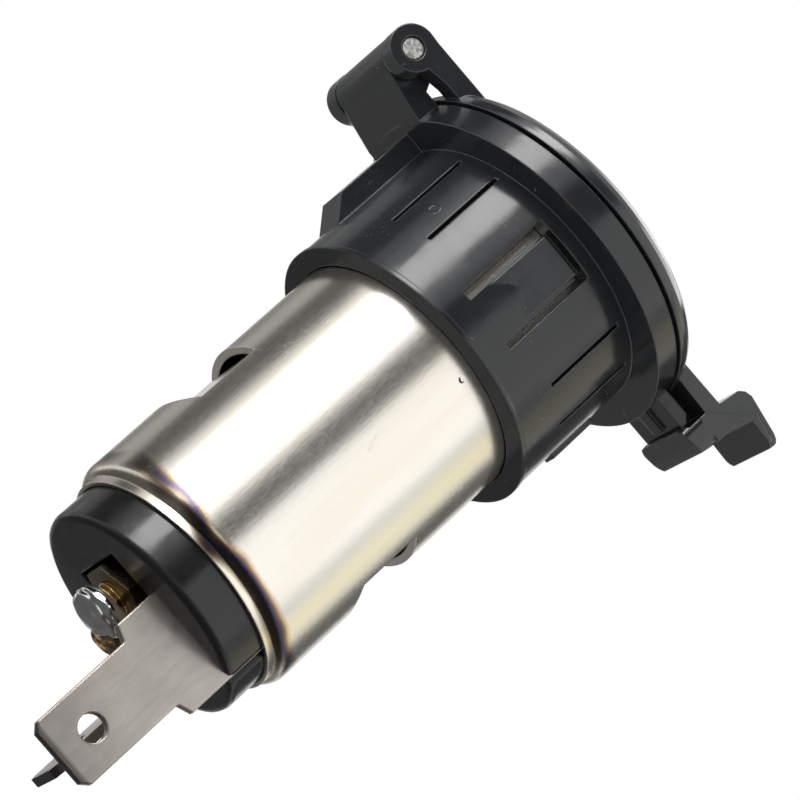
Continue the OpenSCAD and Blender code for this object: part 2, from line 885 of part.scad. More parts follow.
// Centre line of the spring: rear leg, coil and front leg, as points in the part's frame
coil_step = 20;
spring_path = concat(
    [[-coil_len / 2, spring_leg_end + 0.4, hinge_z - coil_r]],
    [for (a = [0:coil_step:360 * coil_turns + 150])
        [-coil_len / 2 + coil_pitch * a / 360,
         hinge_y + coil_r * sin(a),
         hinge_z - coil_r * cos(a)]],
    [[coil_len / 2 + coil_pitch * 0.5, lid_r - 0.4, leg_z],
     [coil_len / 2 + coil_pitch * 0.5, lid_r - lid_round - 0.2, leg_z]]
);

function unit(v) = v / norm(v);

// Points of one ring round the path at index i
function ring(path, i, r, sides) =
    let (
        last = len(path) - 1,
        d = unit(path[min(i + 1, last)] - path[max(i - 1, 0)]),
        u = unit(cross(d, [1, 0, 0])),
        v = cross(d, u)
    )
    [for (k = [0:sides - 1])
        path[i] + r * cos(360 * k / sides) * u + r * sin(360 * k / sides) * v];

// A round wire along a path
module wire(path, r, sides) {
    n = len(path);
    polyhedron(
        points = [for (i = [0:n - 1]) each ring(path, i, r, sides)],
        faces = concat(
            [[for (k = [0:sides - 1]) k]],
            [for (i = [0:n - 2])
                for (k = [0:sides - 1])
                    [i * sides + k, (i + 1) * sides + k,
                     (i + 1) * sides + (k + 1) % sides, i * sides + (k + 1) % sides]],
            [[for (k = [sides - 1:-1:0]) (n - 1) * sides + k]]
        )
    );
}

module lid_spring() {
    color([0.75, 0.75, 0.75])
        wire(spring_path, wire_d / 2, 8);
}

housing();
shell();
rear_plug();
ground_terminal();
positive_terminal();
stud();
nut();
nut_washer();
solder_joint();
contact_leaf();
insulating_disc();
lid();
lid_gasket();
hinge_pin();
lid_spring();
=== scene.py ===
"""A 12 V vehicle power socket with a latched cover: finishes, small pieces, and the studio."""

import math

import bmesh
import bpy
from mathutils import Matrix, Vector, noise


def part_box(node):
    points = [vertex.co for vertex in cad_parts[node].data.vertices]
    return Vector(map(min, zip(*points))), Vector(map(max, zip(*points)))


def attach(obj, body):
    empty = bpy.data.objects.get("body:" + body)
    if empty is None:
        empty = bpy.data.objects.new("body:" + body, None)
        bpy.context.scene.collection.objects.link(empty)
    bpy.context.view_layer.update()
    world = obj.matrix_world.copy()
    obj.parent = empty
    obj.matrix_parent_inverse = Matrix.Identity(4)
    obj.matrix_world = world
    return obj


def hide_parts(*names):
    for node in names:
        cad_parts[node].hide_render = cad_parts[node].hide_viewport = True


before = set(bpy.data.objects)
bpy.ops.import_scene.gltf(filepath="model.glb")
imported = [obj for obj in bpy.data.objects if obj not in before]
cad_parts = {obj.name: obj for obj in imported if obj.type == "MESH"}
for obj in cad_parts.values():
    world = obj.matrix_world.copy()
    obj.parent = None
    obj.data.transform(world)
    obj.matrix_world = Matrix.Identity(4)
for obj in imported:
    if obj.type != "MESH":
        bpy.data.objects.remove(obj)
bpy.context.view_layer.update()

bl_info = {
    "name": "Vehicle Power Socket",
    "version": (1, 0, 0),
    "blender": (4, 5, 0),
    "location": "View3D > Sidebar > Power Socket",
    "description": "Dresses the power socket with its plating, mouldings and small pieces",
    "category": "Object",
}

MM = 0.001


# Colours and sizes that a user may change

class SocketFinish(bpy.types.PropertyGroup):
    """Colours of the socket's finishes."""

    moulding: bpy.props.FloatVectorProperty(
        name="Moulding", description="Colour of the housing and the cover",
        subtype="COLOR", size=3, default=(0.0085, 0.0096, 0.0106))
    plug: bpy.props.FloatVectorProperty(
        name="Rear plug", description="Colour of the insulating plug",
        subtype="COLOR", size=3, default=(0.0055, 0.0057, 0.006))
    nickel: bpy.props.FloatVectorProperty(
        name="Nickel plating", description="Colour of the shell's nickel plating",
        subtype="COLOR", size=3, default=(0.645, 0.622, 0.577))
    blade: bpy.props.FloatVectorProperty(
        name="Blade plating", description="Colour of the blades' plating",
        subtype="COLOR", size=3, default=(0.46, 0.425, 0.395))
    brass: bpy.props.FloatVectorProperty(
        name="Brass", description="Colour of the nut and the stud",
        subtype="COLOR", size=3, default=(0.78, 0.55, 0.24))


class SocketSizes(bpy.types.PropertyGroup):
    """Sizes of the small pieces that are fitted over the frame."""

    thread_pitch: bpy.props.FloatProperty(
        name="Thread pitch", description="Pitch of the stud's thread",
        unit="LENGTH", default=0.5 * MM, min=0.3 * MM, max=0.8 * MM, precision=5)
    thread_depth: bpy.props.FloatProperty(
        name="Thread depth", description="Height of the thread's ridge",
        unit="LENGTH", default=0.16 * MM, min=0.05 * MM, max=0.3 * MM, precision=5)
    solder_lump: bpy.props.FloatProperty(
        name="Solder unevenness", description="How far the solder's surface wanders",
        unit="LENGTH", default=0.22 * MM, min=0.0, max=0.4 * MM, precision=5)


class SocketStudio(bpy.types.PropertyGroup):
    """The studio's light levels."""

    key: bpy.props.FloatProperty(
        name="Key light", description="Radiance of the key softbox",
        default=10.0, min=0.0, max=40.0)
    fill: bpy.props.FloatProperty(
        name="Fill light", description="Radiance of the wide fill panel",
        default=0.58, min=0.0, max=10.0)
    ambient: bpy.props.FloatProperty(
        name="Ambient", description="Strength of the room's light on the object",
        default=0.55, min=0.0, max=2.0)


# Node helpers

def add(tree, kind, inputs=None, **settings):
    """Adds a node, applies its settings, and fills or links its inputs."""
    n = tree.nodes.new(kind)
    for key, value in settings.items():
        setattr(n, key, value)
    for key, value in (inputs or {}).items():
        socket = n.inputs[key]
        if isinstance(value, bpy.types.NodeSocket):
            tree.links.new(value, socket)
        else:
            socket.default_value = value
    return n


def math_node(tree, operation, a, b=0.0):
    """A Math node's output."""
    return add(tree, "ShaderNodeMath", {0: a, 1: b}, operation=operation).outputs[0]


def weighted_sum(tree, value, weight, rest):
    """value * weight + rest, in one Math node."""
    return add(tree, "ShaderNodeMath", {0: value, 1: weight, 2: rest},
               operation="MULTIPLY_ADD").outputs[0]


def mix_colour(tree, factor, a, b, blend="MIX"):
    """A Mix node on colours; sockets 6 and 7 are its two colours."""
    return add(tree, "ShaderNodeMix", {0: factor, 6: a, 7: b}, data_type="RGBA",
               blend_type=blend).outputs[2]


def remap(tree, value, low, high, to_low=0.0, to_high=1.0, curve="SMOOTHSTEP"):
    """A clamped Map Range from low..high to to_low..to_high, smooth unless told otherwise."""
    return add(tree, "ShaderNodeMapRange",
               {"Value": value, "From Min": low, "From Max": high,
                "To Min": to_low, "To Max": to_high},
               interpolation_type=curve).outputs["Result"]


def ramp(tree, factor, stops):
    """A Color Ramp with (position, colour) stops."""
    n = add(tree, "ShaderNodeValToRGB", {"Fac": factor})
    points = n.color_ramp.elements
    while len(points) < len(stops):
        points.new(0.5)
    for point, (position, colour) in zip(points, stops):
        point.position = position
        point.color = (*colour, 1.0)
    return n.outputs["Color"]


def place(tree, scale=(1.0, 1.0, 1.0), turn=(0.0, 0.0, 0.0)):
    """Object coordinates in millimetres, scaled and turned."""
    start = add(tree, "ShaderNodeTexCoord").outputs["Object"]
    return add(tree, "ShaderNodeMapping",
               {"Vector": start, "Scale": tuple(s / MM for s in scale), "Rotation": turn},
               ).outputs["Vector"]


def height_at(tree):
    """The Z of each shaded point on its object, in metres."""
    here = add(tree, "ShaderNodeTexCoord").outputs["Object"]
    return add(tree, "ShaderNodeSeparateXYZ", {0: here}).outputs["Z"]


def noise_at(tree, vector, scale, detail=3.0, roughness=0.5):
    """A Noise Texture's value."""
    return add(tree, "ShaderNodeTexNoise",
               {"Vector": vector, "Scale": scale, "Detail": detail, "Roughness": roughness},
               ).outputs["Fac"]


def effect_group(name, inputs, outputs):
    """A new shader node group with float inputs (name, default) and (name, type) outputs."""
    group = bpy.data.node_groups.new(name, "ShaderNodeTree")
    for label, default in inputs:
        socket = group.interface.new_socket(label, in_out="INPUT", socket_type="NodeSocketFloat")
        socket.default_value = default
    for label, kind in outputs:
        group.interface.new_socket(label, in_out="OUTPUT", socket_type=kind)
    return group, group.nodes.new("NodeGroupInput"), group.nodes.new("NodeGroupOutput")


def use_group(tree, group, **values):
    """Places an effect group; underscores in the keywords stand for spaces."""
    n = tree.nodes.new("ShaderNodeGroup")
    n.node_tree = group
    for key, value in values.items():
        n.inputs[key.replace("_", " ").capitalize()].default_value = value
    return n


# Effects that several finishes share

def moulded_skin_group():
    """Slight waves and fine grain of injection-moulded plastic."""
    group, start, end = effect_group(
        "Moulded skin", [("Grain size", 8.0), ("Wave size", 0.35)],
        [("Height", "NodeSocketFloat"), ("Sheen", "NodeSocketFloat")])
    here = place(group)
    grain = noise_at(group, here, start.outputs["Grain size"], 2.0)
    wave = noise_at(group, here, start.outputs["Wave size"], 2.0)
    group.links.new(weighted_sum(group, grain, 0.002, wave), end.inputs["Height"])
    group.links.new(remap(group, wave, 0.35, 0.65), end.inputs["Sheen"])
    return group


def scratches_group():
    """Fine straight scratches in two directions, patchy as from handling."""
    group, start, end = effect_group(
        "Handling scratches", [("Fineness", 5.0), ("Spread", 0.62)],
        [("Mask", "NodeSocketFloat")])
    lines = []
    for turn in (0.5, 2.1):
        along = place(group, (0.05, 1.0, 1.0), (0.3, turn, 0.4 * turn))
        streak = noise_at(group, along, start.outputs["Fineness"], 1.0)
        lines.append(remap(group, streak, 0.70, 0.76))
    patch = noise_at(group, place(group), 0.22, 2.0)
    shown = remap(group, patch, 0.5, 0.7)
    mask = math_node(group, "MULTIPLY", math_node(group, "MAXIMUM", *lines), shown)
    group.links.new(math_node(group, "MULTIPLY", mask, start.outputs["Spread"]),
                    end.inputs["Mask"])
    return group


def drawn_lines_group():
    """Lines that deep drawing leaves along Z, with faint wide streaks."""
    group, start, end = effect_group(
        "Drawn lines", [("Line size", 4.0), ("Streak size", 0.5)],
        [("Line", "NodeSocketFloat"), ("Streak", "NodeSocketFloat")])
    thin = place(group, (1.0, 1.0, 0.03))
    wide = place(group, (1.0, 1.0, 0.12))
    line = noise_at(group, thin, start.outputs["Line size"], 4.0, 0.65)
    streak = noise_at(group, wide, start.outputs["Streak size"])
    group.links.new(line, end.inputs["Line"])
    group.links.new(remap(group, streak, 0.3, 0.7), end.inputs["Streak"])
    return group


def rounded_edge_group():
    """A rounded normal at edges, and a mask of where they are, which the mouldings use for a
    painted highlight and the blades for painted shade.
    """
    group, start, end = effect_group(
        "Rounded edge", [("Radius", 0.12 * MM)],
        [("Normal", "NodeSocketVector"), ("Edge", "NodeSocketFloat")])
    bevel = add(group, "ShaderNodeBevel", {"Radius": start.outputs["Radius"]}, samples=6)
    true_normal = add(group, "ShaderNodeNewGeometry").outputs["True Normal"]
    facing = add(group, "ShaderNodeVectorMath", {0: bevel.outputs[0], 1: true_normal},
                 operation="DOT_PRODUCT").outputs["Value"]
    group.links.new(bevel.outputs[0], end.inputs["Normal"])
    group.links.new(remap(group, facing, 0.995, 0.88), end.inputs["Edge"])
    return group


def turned_lines_group():
    """Fine lines round the Z axis outside a radius, and along Z inside it."""
    group, start, end = effect_group(
        "Turned lines", [("Fineness", 2.5), ("Inner radius", 13.4)],
        [("Height", "NodeSocketFloat")])
    xyz = add(group, "ShaderNodeSeparateXYZ", {0: place(group)})
    flat = add(group, "ShaderNodeCombineXYZ", {"X": xyz.outputs["X"], "Y": xyz.outputs["Y"]})
    radius = add(group, "ShaderNodeVectorMath", {0: flat.outputs[0]},
                 operation="LENGTH").outputs["Value"]
    angle = math_node(group, "ARCTAN2", xyz.outputs["Y"], xyz.outputs["X"])
    around = add(group, "ShaderNodeCombineXYZ",
                 {"X": radius, "Y": xyz.outputs["Z"],
                  "Z": math_node(group, "MULTIPLY", angle, 0.8)})
    drop = add(group, "ShaderNodeCombineXYZ",
               {"X": xyz.outputs["X"], "Y": xyz.outputs["Y"],
                "Z": math_node(group, "MULTIPLY", xyz.outputs["Z"], 0.04)})
    outer = math_node(group, "GREATER_THAN", radius, start.outputs["Inner radius"])
    both = add(group, "ShaderNodeMix", {0: outer, 4: drop.outputs[0], 5: around.outputs[0]},
               data_type="VECTOR").outputs[1]
    lines = noise_at(group, both, start.outputs["Fineness"], 4.0, 0.6)
    group.links.new(lines, end.inputs["Height"])
    return group


def segment_mask(tree, start, end, width):
    """A mask along a straight line between two (y, z) points, seen along X, in metres."""
    here = add(tree, "ShaderNodeTexCoord").outputs["Object"]
    flat = add(tree, "ShaderNodeVectorMath", {0: here, 1: (0.0, 1.0, 1.0)},
               operation="MULTIPLY").outputs[0]
    a, b = Vector((0.0, *start)), Vector((0.0, *end))
    run = b - a
    off = add(tree, "ShaderNodeVectorMath", {0: flat, 1: a}, operation="SUBTRACT").outputs[0]
    dot = add(tree, "ShaderNodeVectorMath", {0: off, 1: run / run.length_squared},
              operation="DOT_PRODUCT").outputs["Value"]
    along = add(tree, "ShaderNodeClamp", {"Value": dot}).outputs[0]
    foot = add(tree, "ShaderNodeVectorMath", {0: run, "Scale": along},
               operation="SCALE").outputs[0]
    gap = add(tree, "ShaderNodeVectorMath", {0: off, 1: foot}, operation="DISTANCE")
    return remap(tree, gap.outputs["Value"], width, 0.3 * width)


def ring_mask(tree, centre, radius, width):
    """A mask along a circle's edge round a point, in metres."""
    here = add(tree, "ShaderNodeTexCoord").outputs["Object"]
    gap = add(tree, "ShaderNodeVectorMath", {0: here, 1: centre}, operation="DISTANCE")
    off = math_node(tree, "ABSOLUTE", math_node(tree, "SUBTRACT", gap.outputs["Value"], radius))
    return remap(tree, off, width, 0.3 * width)


def specks_group():
    """Small dust specks."""
    group, start, end = effect_group(
        "Dust specks", [("Scale", 1.1), ("Size", 0.06)], [("Mask", "NodeSocketFloat")])
    here = place(group)
    warp = add(group, "ShaderNodeTexNoise", {"Vector": here, "Scale": 6.0}).outputs["Color"]
    moved = add(group, "ShaderNodeVectorMath", {0: here, 1: warp}, operation="ADD").outputs[0]
    cell = add(group, "ShaderNodeTexVoronoi", {"Vector": moved, "Scale": start.outputs["Scale"]})
    dot = math_node(group, "LESS_THAN", cell.outputs["Distance"], start.outputs["Size"])
    few = math_node(group, "GREATER_THAN", cell.outputs["Color"], 0.72)
    group.links.new(math_node(group, "MULTIPLY", dot, few), end.inputs["Mask"])
    return group


EFFECTS = {}


def build_effects():
    """Builds each shared effect once."""
    EFFECTS.update(
        skin=moulded_skin_group(), scratches=scratches_group(), drawn=drawn_lines_group(),
        edge=rounded_edge_group(), specks=specks_group(), turned=turned_lines_group())


# Finishes

def new_finish(name, **sockets):
    """A material with one Principled shader, and the plain values of its sockets."""
    material = bpy.data.materials.new(name)
    material.use_nodes = True
    tree = material.node_tree
    shader = tree.nodes["Principled BSDF"]
    for key, value in sockets.items():
        shader.inputs[key.replace("_", " ")].default_value = value
    return material, tree, shader


def connect(tree, shader, **outputs):
    """Links outputs to the shader's sockets; underscores in the keywords stand for spaces."""
    for key, output in outputs.items():
        tree.links.new(output, shader.inputs[key.replace("_", " ")])


def bumped(tree, height, distance, strength=1.0, normal=None):
    """A Bump node's normal; distance is in metres."""
    inputs = {"Height": height, "Distance": distance, "Strength": strength}
    if normal is not None:
        inputs["Normal"] = normal
    return add(tree, "ShaderNodeBump", inputs).outputs["Normal"]


def moulding_finish(name, colour, roughness, waves, edge=0.2, specks=0.5, marks_at=(),
                    matt_end=None, ior=1.5):
    """Black injection-moulded plastic with dust, scuffs, the mould's own marks and a painted
    highlight along its edges.

    From the height matt_end down, the moulding is matt."""
    material, tree, shader = new_finish(name, IOR=ior)
    skin = use_group(tree, EFFECTS["skin"], grain_size=7.0, wave_size=waves)
    scuff = use_group(tree, EFFECTS["scratches"], fineness=4.0, spread=0.8)
    rounded = use_group(tree, EFFECTS["edge"], radius=edge * MM)
    dust = use_group(tree, EFFECTS["specks"], scale=0.9, size=0.055)
    turned = use_group(tree, EFFECTS["turned"], fineness=2.2, inner_radius=13.4)
    pale = tuple(c * 3.2 + 0.02 for c in colour)
    height = weighted_sum(tree, turned.outputs["Height"], 0.16, skin.outputs["Height"])
    height = weighted_sum(tree, scuff.outputs["Mask"], -0.12, height)
    for make, values, rise in marks_at:
        height = weighted_sum(tree, make(tree, *values), rise, height)
    marks = math_node(tree, "MULTIPLY", scuff.outputs["Mask"], 0.55)
    base = mix_colour(tree, marks, (*colour, 1.0), (*pale, 1.0))
    # Painted highlight: the edges are lightened towards the pale colour.
    base = mix_colour(tree, math_node(tree, "MULTIPLY", rounded.outputs["Edge"], 0.6), base,
                      (*pale, 1.0))
    base = mix_colour(tree, math_node(tree, "MULTIPLY", dust.outputs["Mask"], specks), base,
                      (0.35, 0.35, 0.34, 1.0))
    rough = remap(tree, skin.outputs["Sheen"], 0.0, 1.0, roughness * 0.85, roughness * 1.2)
    rough = weighted_sum(tree, scuff.outputs["Mask"], 0.18, rough)
    if matt_end is not None:
        gloss = remap(tree, height_at(tree), matt_end, matt_end + 0.2 * MM, 0.12, 0.5)
        connect(tree, shader, Specular_IOR_Level=gloss)
    connect(tree, shader, Base_Color=base, Roughness=rough,
            Normal=bumped(tree, height, 0.05 * MM, 0.6, rounded.outputs["Normal"]))
    return material


def plug_finish(colour):
    """Black insulating plug: turned rings on its faces, and pale handling marks."""
    material, tree, shader = new_finish("Insulating plug", IOR=1.41)
    skin = use_group(tree, EFFECTS["skin"], grain_size=6.0, wave_size=0.5)
    scuff = use_group(tree, EFFECTS["scratches"], fineness=5.0, spread=1.0)
    rounded = use_group(tree, EFFECTS["edge"], radius=0.4 * MM)
    rings = add(tree, "ShaderNodeTexWave",
                {"Vector": place(tree), "Scale": 2.2, "Distortion": 0.6, "Detail": 1.0},
                wave_type="RINGS", rings_direction="Z").outputs["Fac"]
    pale = tuple(c * 3.0 + 0.02 for c in colour)
    base = mix_colour(tree, math_node(tree, "MULTIPLY", scuff.outputs["Mask"], 0.5),
                      (*colour, 1.0), (*pale, 1.0))
    height = weighted_sum(tree, rings, 0.25, skin.outputs["Height"])
    connect(tree, shader, Base_Color=base,
            Roughness=remap(tree, skin.outputs["Sheen"], 0.0, 1.0, 0.14, 0.24),
            Normal=bumped(tree, height, 0.02 * MM, 0.6, rounded.outputs["Normal"]))
    return material


def shell_finish(colour, tint_start, tint_end, marks_at):
    """Satin nickel plate, drawn along Z, with a heat tint on the rolled rear shoulder.

    The tint runs from the height tint_start to tint_end, and wanders by a few millimetres."""
    material, tree, shader = new_finish("Satin nickel plating", Metallic=1.0)
    drawn = use_group(tree, EFFECTS["drawn"], line_size=3.5, streak_size=0.35)
    rounded = use_group(tree, EFFECTS["edge"], radius=0.25 * MM)
    scuff = use_group(tree, EFFECTS["scratches"], fineness=3.0, spread=1.0)
    wander = math_node(tree, "SUBTRACT", noise_at(tree, place(tree), 0.14, 1.5), 0.5)
    level = weighted_sum(tree, wander, 4.2 * MM, height_at(tree))
    along = remap(tree, level, tint_start, tint_end, curve="LINEAR")
    tint = ramp(tree, along, [
        (0.0, (1.0, 1.0, 1.0)), (0.14, (0.8, 0.66, 0.5)), (0.27, (0.32, 0.21, 0.16)),
        (0.4, (0.09, 0.1, 0.22)), (0.52, (0.12, 0.1, 0.1)), (0.7, (0.2, 0.155, 0.12)),
        (0.88, (0.6, 0.54, 0.47)), (1.0, (1.0, 0.97, 0.92))])
    patch = remap(tree, noise_at(tree, place(tree), 0.13, 2.0), 0.3, 0.52)
    warm = tuple(c * f for c, f in zip(colour, (0.95, 0.93, 0.88)))
    base = mix_colour(tree, drawn.outputs["Streak"], (*colour, 1.0), (*warm, 1.0))
    tinted = mix_colour(tree, 1.0, base, tint, "MULTIPLY")
    base = mix_colour(tree, patch, base, tinted)
    satin = noise_at(tree, place(tree, (1.0, 1.0, 0.35)), 5.0, 5.0, 0.7)
    rough = weighted_sum(tree, scuff.outputs["Mask"], 0.12,
                         remap(tree, satin, 0.25, 0.75, 0.2, 0.27))
    height = weighted_sum(tree, drawn.outputs["Line"], 0.4, satin)
    for make, values, rise in marks_at:
        height = weighted_sum(tree, make(tree, *values), rise, height)
    connect(tree, shader, Base_Color=base, Roughness=rough,
            Normal=bumped(tree, height, 0.01 * MM, 0.6, rounded.outputs["Normal"]))
    return material


def plated_finish(name, colour, low, high, edge=0.12, line=(0.06, 1.0, 1.0), depth=0.006,
                  cloud_size=0.8, dullest=0.82):
    """Plated or rolled metal with fine grain and rounded edges.

    Its roughness runs from low to high, line stretches the grain, edge and depth are the rounding
    and the grain's height in millimetres, and dullest is the darkest share of the colour."""
    material, tree, shader = new_finish(name, Metallic=1.0)
    rounded = use_group(tree, EFFECTS["edge"], radius=edge * MM)
    scuff = use_group(tree, EFFECTS["scratches"], fineness=5.0, spread=1.0)
    grain = noise_at(tree, place(tree, line), 6.0, 4.0, 0.6)
    cloud = noise_at(tree, place(tree), cloud_size, 3.0)
    dull = tuple(c * dullest for c in colour)
    base = mix_colour(tree, remap(tree, cloud, 0.35, 0.65), (*dull, 1.0), (*colour, 1.0))
    rough = weighted_sum(tree, scuff.outputs["Mask"], 0.1,
                         remap(tree, grain, 0.3, 0.7, low, high))
    connect(tree, shader, Base_Color=base, Roughness=rough,
            Normal=bumped(tree, grain, depth * MM, 0.6, rounded.outputs["Normal"]))
    return material


def blade_finish(name, colour, tip, cut_axis):
    """Dull tin plate with faint rolling lines, and painted shade on its edges and towards the
    tip's height.

    The blade's punched sides, which face along cut_axis, get painted shade, and are made less
    metallic and less glossy."""
    material, tree, shader = new_finish(name, Metallic=1.0)
    rounded = use_group(tree, EFFECTS["edge"], radius=0.3 * MM)
    scuff = use_group(tree, EFFECTS["scratches"], fineness=4.0, spread=1.0)
    grain = noise_at(tree, place(tree, (1.0, 0.5, 0.12), (0.7, 0.0, 0.0)), 1.6, 4.0, 0.55)
    cloud = noise_at(tree, place(tree), 0.28, 2.0)
    # Painted shade on the edges.
    shade = ramp(tree, rounded.outputs["Edge"], [
        (0.0, (1.0, 1.0, 1.0)), (0.35, (0.4, 0.37, 0.33)), (0.7, (0.42, 0.37, 0.32)),
        (0.95, (0.8, 0.75, 0.7))])
    height = height_at(tree)
    # Painted shade: darker towards the tip's height, and darker still in a thin band at the tip.
    painted_tip_shade = math_node(tree, "MULTIPLY",
                        remap(tree, height, tip, tip + 9.0 * MM, 0.7, 1.0),
                        remap(tree, height, tip + 0.3 * MM, tip + 0.75 * MM, 0.4, 1.0))
    dull = tuple(c * 0.86 for c in colour)
    base = mix_colour(tree, remap(tree, cloud, 0.3, 0.7), (*dull, 1.0), (*colour, 1.0))
    base = mix_colour(tree, 1.0, base, shade, "MULTIPLY")
    base = mix_colour(tree, 1.0, base, painted_tip_shade, "MULTIPLY")
    # Painted shade on the punched sides, which face along cut_axis; the same mask makes them less
    # metallic and less glossy.
    faces = add(tree, "ShaderNodeTexCoord").outputs["Normal"]
    faces = add(tree, "ShaderNodeSeparateXYZ", {0: faces}).outputs[cut_axis]
    bare = remap(tree, math_node(tree, "ABSOLUTE", faces), 0.7, 0.95)
    base = mix_colour(tree, math_node(tree, "MULTIPLY", bare, 0.85), base,
                      (0.06, 0.045, 0.03, 1.0))
    rough = weighted_sum(tree, scuff.outputs["Mask"], 0.1,
                         remap(tree, grain, 0.3, 0.7, 0.28, 0.38))
    connect(tree, shader, Base_Color=base, Roughness=rough,
            Metallic=remap(tree, bare, 0.0, 1.0, 1.0, 0.1),
            Specular_IOR_Level=remap(tree, bare, 0.0, 1.0, 0.5, 0.1),
            Normal=bumped(tree, grain, 0.024 * MM, 0.6, rounded.outputs["Normal"]))
    return material


def flux_finish():
    """Dark amber flux, glassy, golden in patches."""
    material, tree, shader = new_finish("Amber flux", Roughness=0.12, IOR=1.52)
    rounded = use_group(tree, EFFECTS["edge"], radius=0.2 * MM)
    cloud = noise_at(tree, place(tree), 1.4, 3.0)
    base = ramp(tree, cloud, [(0.35, (0.02, 0.012, 0.006)), (0.52, (0.11, 0.06, 0.02)),
                              (0.64, (0.4, 0.27, 0.1))])
    connect(tree, shader, Base_Color=base,
            Normal=bumped(tree, cloud, 0.15 * MM, 0.6, rounded.outputs["Normal"]))
    return material


def fibre_finish():
    """Brown pressed fibre."""
    material, tree, shader = new_finish("Pressed fibre", Roughness=0.75)
    fleck = noise_at(tree, place(tree, (1.0, 0.3, 1.0)), 2.5, 4.0)
    base = ramp(tree, fleck, [(0.3, (0.12, 0.045, 0.02)), (0.7, (0.24, 0.11, 0.05))])
    connect(tree, shader, Base_Color=base, Normal=bumped(tree, fleck, 0.05 * MM, 0.5))
    return material


def rubber_finish():
    """Matt black rubber."""
    material, tree, shader = new_finish("Gasket rubber")
    fleck = noise_at(tree, place(tree), 5.0, 3.0)
    base = ramp(tree, fleck, [(0.3, (0.012, 0.012, 0.012)), (0.7, (0.03, 0.03, 0.03))])
    connect(tree, shader, Base_Color=base, Roughness=remap(tree, fleck, 0.3, 0.7, 0.6, 0.8),
            Normal=bumped(tree, fleck, 0.03 * MM, 0.5))
    return material


FINISHES = {}

# The ejector pin's ring on the barrel; angles are from +X in degrees
BARREL_R = 12.95 * MM
MARK_ANGLE = 136.6
MARK_Z = -6.3 * MM
MARK_R = 0.45 * MM
MARK_W = 0.12 * MM
# A pit and a scratch in the shell's plating; the scratch's ends are (y, z)
PIT_ANGLE = 193.5
PIT_Z = -15.0 * MM
PIT_R = 0.34 * MM
SHELL_SCRATCH = ((-1.3 * MM, -24.0 * MM), (-1.75 * MM, -25.2 * MM))
SCRATCH_W = 0.12 * MM
# The shell's heat tint, measured up from its rear end
TINT_START = 2.7 * MM
TINT_END = 0.5 * MM
# How far the barrel's matt end reaches up from its rear face
MATT_END = 0.05 * MM
# The latch's parting line on its two sides, as (y, z)
PARTING_LINE = [(-18.85 * MM, 3.4 * MM), (-21.88 * MM, 7.05 * MM), (-24.85 * MM, 6.45 * MM)]
PARTING_W = 0.08 * MM
# The tarnished brass of the nut, as a share of the stud's colour
NUT_SHARE = (0.31, 0.38, 0.56)
# A grain that no direction stretches
EVEN = (1.0, 1.0, 1.0)


def on_wall(radius, angle, height):
    """The point of a round wall at an angle from +X, in degrees, and a height."""
    turn = math.radians(angle)
    return radius * math.cos(turn), radius * math.sin(turn), height


def build_finishes(colours):
    """Builds every finish from the user's colours."""
    shell_low, shell_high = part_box("shell")
    rear = shell_low[2]
    mark = on_wall(BARREL_R, MARK_ANGLE, MARK_Z)
    pit = on_wall(shell_high[0], PIT_ANGLE, PIT_Z)
    nut = tuple(c * share for c, share in zip(colours.brass, NUT_SHARE))
    FINISHES.update(
        housing=moulding_finish("Housing moulding", colours.moulding, 0.18, 0.3,
                                marks_at=[(ring_mask, (mark, MARK_R, MARK_W), 1.0)],
                                matt_end=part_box("housing")[0][2] + MATT_END, ior=1.43),
        cover=moulding_finish("Cover moulding", colours.moulding, 0.17, 0.12, specks=0.4,
                              marks_at=[(segment_mask, (a, b, PARTING_W), -1.0)
                                        for a, b in zip(PARTING_LINE, PARTING_LINE[1:])]),
        plug=plug_finish(colours.plug),
        shell=shell_finish(colours.nickel, rear + TINT_START, rear + TINT_END,
                           [(ring_mask, (pit, 0.0, PIT_R), -9.0),
                            (segment_mask, (*SHELL_SCRATCH, SCRATCH_W), -7.0)]),
        ground=blade_finish("Ground blade plating", colours.blade,
                            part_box("ground_terminal")[0][2], "Y"),
        positive=blade_finish("Positive blade plating", colours.blade,
                              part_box("positive_terminal")[0][2], "X"),
        flux=flux_finish(),
        brass=plated_finish("Brass", colours.brass, 0.12, 0.2, line=EVEN),
        nut=plated_finish("Nut", nut, 0.25, 0.4, line=EVEN),
        leaf=plated_finish("Contact leaf", colours.brass, 0.2, 0.3),
        zinc=plated_finish("Zinc plate", (0.6, 0.6, 0.6), 0.25, 0.4),
        solder=plated_finish("Solder", (0.82, 0.82, 0.81), 0.1, 0.22, line=EVEN, depth=0.004),
        pin=plated_finish("Cut steel", (0.5, 0.5, 0.48), 0.35, 0.55, line=EVEN, depth=0.04,
                          cloud_size=3.5, dullest=0.4),
        wire=plated_finish("Spring wire", (0.42, 0.42, 0.43), 0.2, 0.3),
        fibre=fibre_finish(), rubber=rubber_finish())


NODE_FINISH = {
    "housing": "housing", "shell": "shell", "rear_plug": "plug", "ground_terminal": "ground",
    "positive_terminal": "positive", "stud": "brass", "nut": "nut", "nut_washer": "zinc",
    "solder_joint": "solder", "contact_leaf": "leaf", "insulating_disc": "fibre",
    "lid": "cover", "lid_gasket": "rubber", "hinge_pin": "pin", "lid_spring": "wire",
}


def paint(obj, finish):
    """Gives an object one finish in all its slots."""
    obj.data.materials.clear()
    obj.data.materials.append(FINISHES[finish])


def link_piece(name, mesh, finish, body):
    """Links a new piece, with its finish and body."""
    obj = bpy.data.objects.new(name, mesh)
    bpy.context.scene.collection.objects.link(obj)
    paint(obj, finish)
    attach(obj, body)
    return obj


# The stud's thread, by Geometry Nodes

STUD_RADIUS = 1.5 * MM
# The bare stud left above and below the thread
THREAD_GAP = 0.05 * MM


